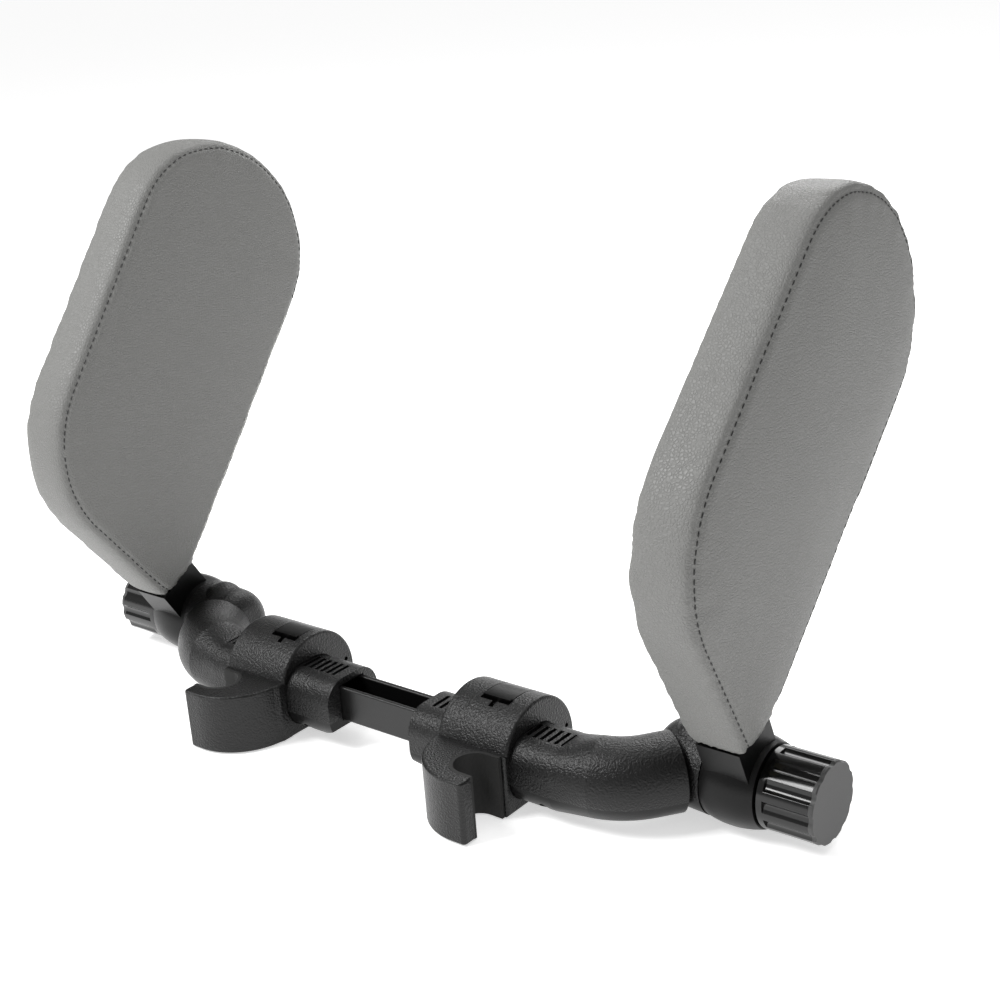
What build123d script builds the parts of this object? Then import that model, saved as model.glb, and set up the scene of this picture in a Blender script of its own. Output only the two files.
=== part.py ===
from build123d import *
from math import atan2, cos, degrees, radians, sin, tan
import os

# Clip-on side-wing head support: a rail carries two sliding arms. Each arm carries a clip that
# hooks round a headrest post, and a padded wing that tilts on a knob-clamped pivot.
# Frame while modelling: rail axis along X through the middle of the rail, +Z up, hooks towards -Y.
# Right-hand pieces are modelled, and left-hand pieces are their mirror image in the YZ plane.

# ---------------------------------------------------------------- driving dimensions, mm
# rail
rail_width = 17.8
rail_height = 19.0
rail_wall = 2.8
rail_floor = 3.0
rail_length = 176.0
rail_clearance = 0.3
rail_edge_round = 1.1

# arm, straight part
arm_inner_end = 27.0
arm_half_width = 18.5
arm_top = 13.5
arm_bottom = -19.5
arm_corner = 12.5
arm_straight_end = 112.0
arm_split = -8.0
arm_end_rake_height = 6.5
arm_end_rake_length = 14.0
cavity_end_wall = 3.5

# arm, bent part and pivot boss
bend_start = 119.5
bend_radius = 34.0
bend_angle = 53.0
bend_tube_radius = 19.3
bend_run_out = 12.0
bend_blend_angle = 14.0
arm_wall = 3.2
hinge_y = 35.2
hinge_z = -1.2
boss_radius = 21.4
boss_inner_radius = 19.6
boss_face = 172.0
boss_dome_end = 141.0
boss_dome_round = 12.0
boss_crown_radius = 12.4
boss_crown_x = 159.5
boss_crown_rise = 11.4

# rack of latch slits along the top of the arm
slit_first = 33.9
slit_pitch = 4.1
slit_count = 20
slit_length = 12.2
slit_width = 2.1
slit_depth = 2.2
latched_slit = 9

# travel of the sliding pieces
arm_travel_in = 20.0
arm_travel_out = 15.0

# clip
clip_length = 42.0
clip_clearance = 0.3
saddle_radius = 27.5
saddle_y = 5.5
saddle_z = -1.4
saddle_edge_round = 1.6
clip_bottom = -23.7
hook_top = 8.5
hook_front_wall = 7.5
hook_tip_setback = 1.5
hook_tip_round = 2.4
hook_edge_round = 1.2
hook_root = 4.5
hook_heel_inset = 1.0
hook_heel_depth = 4.0
hook_heel_round = 3.0
hook_flat_start = 32.0
liner_radius = 9.5
liner_wall = 1.9
liner_clearance = 0.05
liner_end_inset = 0.4
post_from_clip_middle = 12.0
post_gap_from_arm = 14.7
latch_offset = {"right": 2.3, "left": -7.2}

# latch
latch_width = 16.5
latch_thickness = 3.0
latch_clearance = 0.4
latch_front_angle = 104.0
latch_tail_angle = -24.0
latch_pivot_y = 27.2
latch_pivot_z = 3.0
latch_knuckle_radius = 3.1
latch_pin_radius = 1.25
latch_lip_height = 0.9
latch_lip_angle = 3.2
latch_engage_angle = 3.5
latch_lift_angle = 6.0
latch_lift_gap = 0.15
latch_foot_overlap = 0.4
tooth_thickness = 1.4
tooth_length = 8.0
tooth_side_gap = 0.6
tooth_window_length = 13.2
pocket_extra_depth = 1.6
pocket_tail_depth = 5.2
pocket_tail_top_angle = 6.0
pocket_extra_angle = 4.5
spring_radius = 1.9
spring_wire = 0.25
spring_turns = 4
spring_height = 2.4
spring_angle = -15.0
spring_seat_depth = 1.2
spring_seat_gap = 0.4
pin_end_inset = 2.0

# pivot stack, all on the hinge axis
bolt_radius = 4.0
bolt_clearance = 0.05
bolt_head_flats = 13.0
bolt_head_height = 5.3
bolt_head_inner_x = 156.0
bolt_in_knob = 16.0
washer_clearance = 0.3
friction_washer_radius = 14.0
friction_washer_thickness = 1.4
hub_gap = 0.3
hub_length = 27.2
hub_face_radius = 21.0
hub_bulge_radius = 22.7
hub_outer_radius = 20.2
hub_bulge_share = 0.36
thrust_washer_radius = 11.0
thrust_washer_thickness = 1.6
thrust_washer_recess = 1.1
thrust_recess_clearance = 0.1
knob_gap = 0.25
knob_radius = 19.5
knob_length = 28.5
knob_collar = 3.5
knob_flutes = 12
knob_flute_radius = 4.4
knob_flute_depth = 1.3
knob_ridge_round = 0.6
knob_edge_break = 0.6
knob_pocket_radius = 15.5
knob_pocket_depth = 9.0
knob_cap_thickness = 2.2
knob_cap_spigot = 4.0
cap_spigot_wall = 1.8
insert_radius = 6.5
insert_length = 13.0
insert_proud = 2.0

# wing
wing_inner_face = 166.9
wing_thickness = 39.3
wing_width = 132.0
wing_back_setback = 22.5
wing_top = 250.6
wing_shoulder_radius = 56.0
wing_shoulder_angle = 50.0
wing_tip_u = -37.5
wing_tip_v = -1.3
wing_heel_u = -26.5
wing_heel_v = 26.0
wing_chin_angle = 15.9
wing_chin_radius = 68.0
wing_tilt = {"right": 45.5, "left": 36.7}
cover_thickness = 1.2
plate_margin = 12.0
plate_thickness = 5.0
tang_thickness = 17.0
tang_width = 22.0
tang_depth = 46.0
neck_width = 27.0
neck_side_gap = 2.4
neck_start = 8.0
tang_start_reach = 12.0
cover_opening_depth = 4.0
foam_neck_gap = 1.0

# fasteners
shell_screw_radius = 1.5
shell_screw_head_radius = 2.9
shell_screw_head_height = 2.2
shell_screw_sink = 6.0
shell_screw_length = 14.0
shell_screw_end_margin = 6.0
shell_screw_bend_share = 0.72
screw_slot_width = 0.6
screw_drive_share = 0.7
stop_screw_x = 70.0
stop_screw_radius = 2.5
stop_screw_head_radius = 4.2
stop_screw_head_height = 2.6
stop_screw_sink = 0.6
stop_slot_clearance = 0.3
brake_pad_x = 95.0
brake_pad_length = 16.0
brake_pad_width = 10.0
brake_pad_height = 3.0
brake_pad_gap = 0.05
plate_screw_radius = 2.0
plate_screw_head_radius = 3.8
plate_screw_head_height = 2.4
plate_screw_first = 15.0
plate_screw_pitch = 18.0

# ---------------------------------------------------------------- derived places
slide_reach = arm_travel_in + arm_travel_out
tooth_x = slit_first + latched_slit * slit_pitch
clip_middle = {side: tooth_x - latch_offset[side] for side in latch_offset}
liner_outer_radius = liner_radius + liner_wall
post_y = -(arm_half_width + post_gap_from_arm)
hook_front = post_y - liner_outer_radius - hook_front_wall
hook_height = hook_top - clip_bottom
hub_inner = boss_face + hub_gap
hub_outer = hub_inner + hub_length
washer_outer = hub_outer - thrust_washer_recess + thrust_washer_thickness
knob_inner = washer_outer + knob_gap
knob_end = knob_inner + knob_length
bolt_end = knob_inner + bolt_in_knob
wing_front_u = -(wing_back_setback + wing_width)
wing_middle_x = wing_inner_face + wing_thickness / 2
# the neck leaves the hinge square to the opening's edge, from wing tip to wing heel
neck_angle = degrees(atan2(wing_heel_v - wing_tip_v, wing_heel_u - wing_tip_u)) + 90
opening_u = (wing_tip_u + wing_heel_u) / 2
opening_v = (wing_tip_v + wing_heel_v) / 2
opening_reach = opening_u * cos(radians(neck_angle)) + opening_v * sin(radians(neck_angle))
neck_shift = opening_v * cos(radians(neck_angle)) - opening_u * sin(radians(neck_angle))
plate_screw_reaches = [opening_reach + plate_screw_first + n * plate_screw_pitch for n in range(2)]


# ---------------------------------------------------------------- planes
def across(x):
    """Plane facing +X at x, with local axes along Y and Z."""
    return Plane(origin=(x, 0, 0), x_dir=(0, 1, 0), z_dir=(1, 0, 0))


def on_hinge(x):
    """Plane facing +X at x, centred on the hinge axis."""
    return Plane(origin=(x, hinge_y, hinge_z), x_dir=(0, 1, 0), z_dir=(1, 0, 0))


def on_wing(x, side):
    """Plane facing +X at x, centred on the hinge axis and turned with the wing.
    Local x runs from the front edge of the wing to its back edge, and local y along its length."""
    lean = radians(wing_tilt[side])
    return Plane(origin=(x, hinge_y, hinge_z), x_dir=(0, cos(lean), -sin(lean)), z_dir=(1, 0, 0))


hinge_profile = Plane(origin=(0, hinge_y, hinge_z), x_dir=(1, 0, 0), z_dir=(0, -1, 0))
hinge_axis = Axis((0, hinge_y, hinge_z), (1, 0, 0))


def post_x(side):
    """Where the headrest post stands along the rail, on the right-hand side of the frame."""
    return clip_middle[side] + post_from_clip_middle


def handed(piece, side):
    """The right-hand piece itself, or its mirror image for the left."""
    if side == "right":
        return piece
    with BuildPart() as mirrored:
        mirror(piece.part, about=Plane.YZ)
    return mirrored


def hinge_ring(inner_radius, outer_radius, x_start, length):
    """A flat ring on the hinge axis."""
    with BuildPart() as ring:
        with BuildSketch(on_hinge(x_start)):
            Circle(outer_radius)
            Circle(inner_radius, mode=Mode.SUBTRACT)
        extrude(amount=length)
    return ring


# ---------------------------------------------------------------- rail
def make_rail():
    """U-channel that is open on top, with a slot for each arm's stop screw in its floor."""
    slot_middle = stop_screw_x + (arm_travel_out - arm_travel_in) / 2
    slot_radius = stop_screw_radius + stop_slot_clearance
    with BuildPart() as rail:
        with BuildSketch(across(-rail_length / 2)) as section:
            Rectangle(rail_width, rail_height)
            with Locations((0, rail_floor)):
                Rectangle(rail_width - 2 * rail_wall, rail_height, mode=Mode.SUBTRACT)
            fillet(section.vertices().group_by(Axis.Y)[-1], rail_edge_round)
            fillet(section.vertices().group_by(Axis.Y)[0], rail_edge_round)
        extrude(amount=rail_length)
        with BuildSketch(Plane.XY.offset(-rail_height / 2)):
            with Locations((slot_middle, 0), (-slot_middle, 0)):
                SlotCenterToCenter(slide_reach, 2 * slot_radius)
        extrude(amount=rail_floor, mode=Mode.SUBTRACT)
    return rail


# ---------------------------------------------------------------- arm
def arm_section(x, growth=0.0):
    """Rounded section of the straight arm, flat on top where the rack is."""
    with BuildSketch(across(x)) as section:
        with Locations((0, (arm_top + arm_bottom) / 2)):
            RectangleRounded(
                2 * (arm_half_width + growth), arm_top - arm_bottom + 2 * growth, arm_corner + growth
            )
    return section.sketch


def bend_path():
    """Centre line of the bend: from its blend with the straight arm, round towards +Y, to the pivot."""
    blend = radians(bend_blend_angle)
    start = (bend_start + bend_radius * sin(blend), bend_radius * (1 - cos(blend)))
    with BuildLine(Plane.XY.offset(hinge_z)) as path:
        curve = JernArc(start, (cos(blend), sin(blend)), bend_radius, bend_angle - bend_blend_angle)
        Line(curve @ 1, (curve @ 1) + (curve % 1) * bend_run_out)
    return path


def bend_mouth(radius):
    """Round section at the start of the bend's centre line, as a sketch square to it."""
    path = bend_path()
    with BuildSketch(Plane(path.wire() @ 0, x_dir=(0, 0, 1), z_dir=path.wire() % 0)) as mouth:
        Circle(radius)
    return mouth.sketch


def arm_outer():
    """The closed outer shape of the arm, cut off flat at the pivot face."""
    with BuildPart() as arm:
        extrude(arm_section(arm_inner_end), amount=arm_straight_end - arm_inner_end)
        loft(sections=[arm_section(arm_straight_end), bend_mouth(bend_tube_radius)])
        sweep(sections=bend_mouth(bend_tube_radius), path=bend_path().wire())
        with BuildSketch(hinge_profile) as boss:
            with BuildLine():
                Polyline(
                    (boss_dome_end, 0),
                    (boss_dome_end, boss_inner_radius),
                    (boss_face, boss_radius),
                    (boss_face, 0),
                    close=True,
                )
            make_face()
            fillet(boss.vertices().group_by(Axis.X)[0].sort_by(Axis.Y)[-1], boss_dome_round)
        revolve(axis=hinge_axis)
        with Locations((boss_crown_x, hinge_y, hinge_z + boss_crown_rise)):
            Sphere(boss_crown_radius)
        split(bisect_by=Plane(origin=(boss_face, 0, 0), z_dir=(1, 0, 0)), keep=Keep.BOTTOM)
        with BuildSketch(Plane.XZ.offset(-2 * arm_half_width)):
            with BuildLine():
                Polyline(
                    (arm_inner_end, arm_bottom),
                    (arm_inner_end + arm_end_rake_length, arm_bottom),
                    (arm_inner_end, arm_bottom + arm_end_rake_height),
                    close=True,
                )
            make_face()
        extrude(amount=4 * arm_half_width, mode=Mode.SUBTRACT)
    return arm


def shell_screw_places():
    """Screws that close the arm's two shells: two beside the rail at each end, one in the bend."""
    beside_rail = (rail_width / 2 + arm_half_width) / 2
    bend_middle = radians(bend_angle * shell_screw_bend_share)
    bend_x = bend_start + bend_radius * sin(bend_middle)
    bend_y = bend_radius * (1 - cos(bend_middle))
    ends = (
        arm_inner_end + arm_end_rake_length + shell_screw_end_margin,
        arm_straight_end - shell_screw_end_margin,
    )
    return [(x, side * beside_rail) for x in ends for side in (-1, 1)] + [(bend_x, bend_y)]


def make_bend_hollow():
    """Space inside the bend, round a post that is left standing for the middle screw."""
    with BuildPart() as hollow:
        sweep(sections=bend_mouth(bend_tube_radius - arm_wall), path=bend_path().wire())
        with BuildSketch(on_hinge(bolt_head_inner_x - bolt_head_height - arm_wall)):
            Circle(2 * boss_radius)
        extrude(amount=2 * boss_radius, mode=Mode.SUBTRACT)
        with BuildSketch(Plane.XY.offset(arm_bottom)):
            with Locations(shell_screw_places()[-1]):
                Circle(shell_screw_head_radius + arm_wall / 2)
        extrude(amount=2 * boss_radius, mode=Mode.SUBTRACT)
    return hollow


def make_arm():
    """Arm with its rail channel, hollow bend, rack, bolt seat and screw holes, before it is split."""
    outer = arm_outer()
    hollow = make_bend_hollow()
    with BuildPart() as arm:
        add(outer.part)
        # channel that the rail slides in
        with BuildSketch(across(arm_inner_end)):
            Rectangle(rail_width + 2 * rail_clearance, rail_height + 2 * rail_clearance)
        extrude(amount=arm_straight_end - cavity_end_wall - arm_inner_end, mode=Mode.SUBTRACT)
        add(hollow.part, mode=Mode.SUBTRACT)
        # rack
        with BuildSketch(Plane.XY.offset(arm_top)):
            with Locations((slit_first + slit_pitch * (slit_count - 1) / 2, 0)):
                with GridLocations(slit_pitch, 0, slit_count, 1):
                    Rectangle(slit_width, slit_length)
        extrude(amount=-slit_depth, mode=Mode.SUBTRACT)
        # bolt bore, hexagonal seat for its head, and recess for the friction washer
        with BuildSketch(on_hinge(boss_dome_end + arm_wall)):
            Circle(bolt_radius + bolt_clearance)
        extrude(amount=boss_radius * 2, mode=Mode.SUBTRACT)
        with BuildSketch(on_hinge(bolt_head_inner_x)):
            RegularPolygon(bolt_head_flats / 2 + bolt_clearance, 6, major_radius=False, rotation=0)
        extrude(amount=-bolt_head_height - bolt_clearance, mode=Mode.SUBTRACT)
        # the bolt drops in from the parting plane, before the lower shell closes its slot
        with BuildSketch(Plane.XY.offset(hinge_z)):
            with Locations((bolt_head_inner_x, hinge_y)):
                Rectangle(
                    boss_face - bolt_head_inner_x,
                    2 * (bolt_radius + bolt_clearance),
                    align=(Align.MIN, Align.CENTER),
                )
                Rectangle(
                    bolt_head_height + bolt_clearance,
                    bolt_head_flats / cos(radians(30)) + 2 * bolt_clearance,
                    align=(Align.MAX, Align.CENTER),
                )
        extrude(amount=arm_split - hinge_z, mode=Mode.SUBTRACT)
        with BuildSketch(on_hinge(boss_face)):
            Circle(friction_washer_radius + bolt_clearance)
        extrude(amount=-(friction_washer_thickness - hub_gap / 2), mode=Mode.SUBTRACT)
        # screws from below
        with BuildSketch(Plane.XY.offset(arm_bottom + shell_screw_sink)):
            with Locations(*shell_screw_places()):
                Circle(shell_screw_radius)
        extrude(amount=shell_screw_length + shell_screw_head_height, mode=Mode.SUBTRACT)
        with BuildSketch(Plane.XY.offset(arm_bottom + shell_screw_sink + shell_screw_head_height)):
            with Locations(*shell_screw_places()):
                Circle(shell_screw_head_radius + bolt_clearance)
        extrude(amount=-2 * boss_radius, mode=Mode.SUBTRACT)
        # stop screw and brake pad, both in the floor under the rail
        with BuildSketch(Plane.XY.offset(arm_bottom + stop_screw_sink + stop_screw_head_height)):
            with Locations((stop_screw_x, 0)):
                Circle(stop_screw_radius)
        extrude(amount=-arm_bottom, mode=Mode.SUBTRACT)
        with BuildSketch(Plane.XY.offset(arm_bottom + stop_screw_sink + stop_screw_head_height)):
            with Locations((stop_screw_x, 0)):
                Circle(stop_screw_head_radius + bolt_clearance)
        extrude(amount=-boss_radius, mode=Mode.SUBTRACT)
        with BuildSketch(Plane.XY.offset(-rail_height / 2)):
            with Locations((brake_pad_x, 0)):
                Rectangle(brake_pad_length, brake_pad_width)
        extrude(amount=-(brake_pad_height + brake_pad_gap), mode=Mode.SUBTRACT)
    return arm


def arm_half(arm, keep):
    """One shell of the arm: above or below the parting plane."""
    with BuildPart() as shell:
        add(arm.part)
        split(bisect_by=Plane.XY.offset(arm_split), keep=keep)
    return shell


def make_arm_screws():
    """Screws with sunk heads, one separate solid at each place."""
    with BuildPart() as screws:
        head_plane = Plane.XY.offset(arm_bottom + shell_screw_sink)
        with BuildSketch(head_plane):
            with Locations(*shell_screw_places()):
                Circle(shell_screw_head_radius)
        extrude(amount=shell_screw_head_height)
        with BuildSketch(head_plane.offset(shell_screw_head_height)):
            with Locations(*shell_screw_places()):
                Circle(shell_screw_radius)
        extrude(amount=shell_screw_length)
        with BuildSketch(head_plane):
            with Locations(*shell_screw_places()):
                Rectangle(2 * shell_screw_radius, screw_slot_width)
                Rectangle(screw_slot_width, 2 * shell_screw_radius)
        extrude(amount=shell_screw_head_height / 2, mode=Mode.SUBTRACT)
    return screws


def make_stop_screw():
    """Shoulder screw that ends in the rail's floor slot and stops the arm at both ends."""
    head_plane = Plane.XY.offset(arm_bottom + stop_screw_sink)
    with BuildPart() as screw:
        with BuildSketch(head_plane):
            with Locations((stop_screw_x, 0)):
                Circle(stop_screw_head_radius)
        extrude(amount=stop_screw_head_height)
        with BuildSketch(head_plane):
            with Locations((stop_screw_x, 0)):
                Circle(stop_screw_radius)
        extrude(amount=-rail_height / 2 + rail_floor - arm_bottom - stop_screw_sink)
        with BuildSketch(head_plane):
            with Locations((stop_screw_x, 0)):
                RegularPolygon(stop_screw_radius * screw_drive_share, 6)
        extrude(amount=stop_screw_head_height * screw_drive_share, mode=Mode.SUBTRACT)
    return screw


def make_brake_pad():
    """Rubber pad in the arm's floor that drags on the rail and holds the arm where it is put."""
    with BuildPart() as pad:
        with BuildSketch(Plane.XY.offset(-rail_height / 2 - brake_pad_gap)):
            with Locations((brake_pad_x, 0)):
                Rectangle(brake_pad_length, brake_pad_width)
        extrude(amount=-brake_pad_height)
        with BuildSketch(Plane.XY.offset(-rail_height / 2 - brake_pad_gap)):
            with Locations((brake_pad_x, 0)):
                with GridLocations(brake_pad_length / 4, 0, 3, 1):
                    Rectangle(brake_pad_length / 16, brake_pad_width)
        extrude(amount=-brake_pad_height / 4, mode=Mode.SUBTRACT)
    return pad


# ---------------------------------------------------------------- clip
def ring_sector(x, inner_radius, outer_radius, low_angle, high_angle):
    """Sector of the saddle's arch, as a sketch facing +X at x."""
    def point(radius, angle):
        return saddle_y + radius * cos(radians(angle)), saddle_z + radius * sin(radians(angle))

    middle = (low_angle + high_angle) / 2
    with BuildSketch(across(x)) as sector:
        with BuildLine():
            ThreePointArc(
                point(outer_radius, low_angle), point(outer_radius, middle), point(outer_radius, high_angle)
            )
            Line(point(outer_radius, high_angle), point(inner_radius, high_angle))
            ThreePointArc(
                point(inner_radius, high_angle), point(inner_radius, middle), point(inner_radius, low_angle)
            )
            Line(point(inner_radius, low_angle), point(outer_radius, low_angle))
        make_face()
    return sector.sketch


def make_hook_block(side):
    """Solid block in front of the saddle, before the post's room is cut from it."""
    start = clip_middle[side] - clip_length / 2
    tip_x = start + clip_length - hook_tip_setback
    back = post_y + liner_outer_radius + hook_root
    with BuildPart() as block:
        with BuildSketch(Plane.XY.offset(clip_bottom)) as plan:
            with BuildLine():
                heel = (start + hook_heel_inset, back - hook_root - hook_heel_depth)
                front = (start + hook_flat_start, hook_front)
                Polyline((start, back), (start, back - hook_root - hook_heel_inset), heel)
                TangentArc(front, heel, tangent=(-1, 0))
                Polyline(front, (tip_x, hook_front), (tip_x, back), (start, back))
            make_face()
            fillet(plan.vertices().group_by(Axis.X)[-1].sort_by(Axis.Y)[0], hook_tip_round)
            fillet(plan.vertices().sort_by_distance((*heel, 0))[0], hook_heel_round)
        extrude(amount=hook_height)
        rims = block.faces().filter_by(Axis.Z).edges()
        fillet(rims.filter_by_position(Axis.Y, hook_front - 1, back, (True, False)), hook_edge_round)
    return block


def make_clip_body(side):
    """Saddle that wraps the arm, and the hook for the post in front of it."""
    start = clip_middle[side] - clip_length / 2
    back_of_hook = post_y + liner_outer_radius
    pocket_floor = saddle_radius - latch_thickness - 2 * latch_clearance - pocket_extra_depth
    pocket_start = tooth_x - latch_width / 2 - latch_clearance
    pocket_width = latch_width + 2 * latch_clearance
    low_angle = latch_tail_angle - pocket_extra_angle
    block = make_hook_block(side)
    with BuildPart() as clip:
        # saddle: round arch with a square front foot
        with BuildSketch(across(start)):
            with Locations((saddle_y, saddle_z)):
                Circle(saddle_radius)
            with Locations((saddle_y, clip_bottom)):
                Rectangle(
                    saddle_y - back_of_hook, hook_top - clip_bottom, align=(Align.MAX, Align.MIN)
                )
            with Locations((saddle_y, clip_bottom)):
                Rectangle(
                    4 * saddle_radius, saddle_radius, align=(Align.CENTER, Align.MAX), mode=Mode.SUBTRACT
                )
        extrude(amount=clip_length)
        fillet(clip.faces().filter_by(Axis.X).edges(), saddle_edge_round)
        add(block.part)
        # room for the post and its liner, open at the outer side
        with BuildSketch(Plane.XY.offset(clip_bottom)):
            with Locations((post_x(side), post_y)):
                Circle(liner_outer_radius + liner_clearance)
                Rectangle(
                    clip_length, 2 * (liner_outer_radius + liner_clearance), align=(Align.MIN, Align.CENTER)
                )
        extrude(amount=hook_height, mode=Mode.SUBTRACT)
        # room for the arm
        extrude(arm_section(start - 1, clip_clearance), amount=clip_length + 2, mode=Mode.SUBTRACT)
        # pocket for the latch, deeper behind the pivot where the tail swings in
        high_angle = latch_front_angle + pocket_extra_angle
        pocket = ring_sector(pocket_start, pocket_floor, 2 * saddle_radius, low_angle, high_angle)
        extrude(pocket, amount=pocket_width, mode=Mode.SUBTRACT)
        with BuildSketch(across(pocket_start)):
            with Locations((latch_pivot_y, latch_pivot_z)):
                Circle(latch_knuckle_radius + latch_clearance)
        extrude(amount=pocket_width, mode=Mode.SUBTRACT)
        tail_floor = saddle_radius - pocket_tail_depth
        tail_room = ring_sector(
            pocket_start, tail_floor, 2 * saddle_radius, low_angle, pocket_tail_top_angle
        )
        extrude(tail_room, amount=pocket_width, mode=Mode.SUBTRACT)
        # window for the tooth, down to the rack
        with BuildSketch(Plane.XY.offset(saddle_z + saddle_radius)):
            with Locations((tooth_x, 0)):
                Rectangle(tooth_thickness + 2 * tooth_side_gap, tooth_window_length)
        extrude(amount=-saddle_radius, mode=Mode.SUBTRACT)
        # hole for the pin, right through both sides of the pocket, and a seat for the spring
        with BuildSketch(across(start)):
            with Locations((latch_pivot_y, latch_pivot_z)):
                Circle(latch_pin_radius)
        extrude(amount=clip_length, mode=Mode.SUBTRACT)
        with BuildSketch(spring_seat_plane()):
            Circle(spring_radius + spring_wire + spring_seat_gap)
        extrude(amount=spring_seat_depth, mode=Mode.SUBTRACT)
    return clip


def spring_seat_plane():
    """Plane on the pocket floor under the tail of the latch, facing in towards the arch's centre."""
    angle = radians(spring_angle)
    seat_radius = saddle_radius - pocket_tail_depth
    return Plane(
        origin=(tooth_x, saddle_y + seat_radius * cos(angle), saddle_z + seat_radius * sin(angle)),
        x_dir=(1, 0, 0),
        z_dir=(0, -cos(angle), -sin(angle)),
    )


def make_clip_liner(side):
    """Rubber strip bent into a U that lines the hook."""
    reach = clip_length / 2 - hook_tip_setback - liner_end_inset - post_from_clip_middle
    with BuildPart() as liner:
        with BuildSketch(Plane.XY.offset(clip_bottom)):
            with Locations((post_x(side), post_y)):
                Circle(liner_outer_radius)
                Rectangle(reach, 2 * liner_outer_radius, align=(Align.MIN, Align.CENTER))
                Circle(liner_radius, mode=Mode.SUBTRACT)
                Rectangle(
                    2 * reach, 2 * liner_radius, align=(Align.MIN, Align.CENTER), mode=Mode.SUBTRACT
                )
        extrude(amount=hook_height)
    return liner


def make_latch():
    """Rocking latch: curved tongue with a lip at its front, a tooth under it and a tail behind."""
    start = tooth_x - latch_width / 2
    inner = saddle_radius - latch_thickness
    tooth_bottom = arm_top + latch_lift_gap
    with BuildPart() as latch:
        extrude(
            ring_sector(start, inner, saddle_radius, latch_tail_angle, latch_front_angle),
            amount=latch_width,
        )
        lip_start = latch_front_angle - latch_lip_angle
        lip = ring_sector(start, inner, saddle_radius + latch_lip_height, lip_start, latch_front_angle)
        extrude(lip, amount=latch_width)
        with BuildSketch(across(start)):
            with Locations((latch_pivot_y, latch_pivot_z)):
                Circle(latch_knuckle_radius)
        extrude(amount=latch_width)
        with BuildSketch(Plane.XY.offset(tooth_bottom)):
            with Locations((tooth_x, 0)):
                Rectangle(tooth_thickness, tooth_length)
        extrude(amount=saddle_z + inner + latch_foot_overlap - tooth_bottom)
        with BuildSketch(across(start)):
            with Locations((latch_pivot_y, latch_pivot_z)):
                Circle(latch_pin_radius + bolt_clearance)
        extrude(amount=latch_width, mode=Mode.SUBTRACT)
    return latch


def make_latch_pin(side):
    """Steel pin that the latch rocks on, pressed into both walls of its pocket."""
    with BuildPart() as pin:
        with BuildSketch(across(clip_middle[side] - clip_length / 2 + pin_end_inset)):
            with Locations((latch_pivot_y, latch_pivot_z)):
                Circle(latch_pin_radius)
        extrude(amount=clip_length - 2 * pin_end_inset)
    return pin


def make_latch_spring():
    """Small compression spring that pushes the tail out and so the tooth in."""
    seat = spring_seat_plane()
    foot = seat.offset(spring_seat_depth - spring_wire)
    base = Plane(origin=foot.origin, x_dir=foot.x_dir, z_dir=-foot.z_dir)
    coil = Helix(pitch=spring_height / spring_turns, height=spring_height, radius=spring_radius)
    path = base.location * coil
    with BuildPart() as spring:
        with BuildSketch(Plane(path @ 0, z_dir=path % 0)):
            Circle(spring_wire)
        sweep(path=path, is_frenet=True)
    return spring


# ---------------------------------------------------------------- pivot stack
def make_pivot_bolt():
    """Hexagon-head bolt through the boss and the hub, into the knob."""
    with BuildPart() as bolt:
        with BuildSketch(on_hinge(bolt_head_inner_x)):
            RegularPolygon(bolt_head_flats / 2, 6, major_radius=False)
        extrude(amount=-bolt_head_height)
        with BuildSketch(on_hinge(bolt_head_inner_x)):
            Circle(bolt_radius)
        extrude(amount=bolt_end - bolt_head_inner_x)
        chamfer(bolt.faces().sort_by(Axis.X)[-1].edges(), bolt_radius / 6)
    return bolt


def make_flutes(x_start):
    """Shallow scoops round the knob, as the solid that is cut from it."""
    with BuildPart() as flutes:
        with BuildSketch(on_hinge(x_start)):
            with PolarLocations(knob_radius + knob_flute_radius - knob_flute_depth, knob_flutes):
                Circle(knob_flute_radius)
        extrude(amount=knob_length)
    return flutes


def ridge_edges(part, x_start):
    """Long edges where neighbouring scoops leave a ridge."""
    return part.edges().filter_by(Axis.X).filter_by_position(Axis.X, x_start, knob_end)


def make_knob_grip():
    """Moulded knob: plain collar, fluted grip, seat for the nut and a pocket under the cap."""
    cap_seat = knob_end - knob_cap_thickness
    flutes = make_flutes(knob_inner + knob_collar)
    with BuildPart() as grip:
        with BuildSketch(on_hinge(knob_inner)):
            Circle(knob_radius)
        extrude(amount=cap_seat - knob_inner)
        chamfer(grip.edges().sort_by(Axis.X)[0], knob_edge_break)
        add(flutes.part, mode=Mode.SUBTRACT)
        fillet(ridge_edges(grip, knob_inner + knob_collar), knob_ridge_round)
        with BuildSketch(on_hinge(knob_inner)):
            Circle(bolt_radius + washer_clearance)
        extrude(amount=knob_length, mode=Mode.SUBTRACT)
        with BuildSketch(on_hinge(cap_seat)):
            Circle(knob_pocket_radius)
        extrude(amount=-knob_pocket_depth, mode=Mode.SUBTRACT)
        with BuildSketch(on_hinge(cap_seat - knob_pocket_depth)):
            RegularPolygon(insert_radius, 6, major_radius=False)
        extrude(amount=-insert_length + insert_proud, mode=Mode.SUBTRACT)
    return grip


def make_knob_insert():
    """Brass hexagon nut moulded into the knob."""
    start = knob_end - knob_cap_thickness - knob_pocket_depth - insert_length + insert_proud
    with BuildPart() as insert:
        with BuildSketch(on_hinge(start)):
            RegularPolygon(insert_radius, 6, major_radius=False)
            Circle(bolt_radius + bolt_clearance, mode=Mode.SUBTRACT)
        extrude(amount=insert_length)
    return insert


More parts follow.
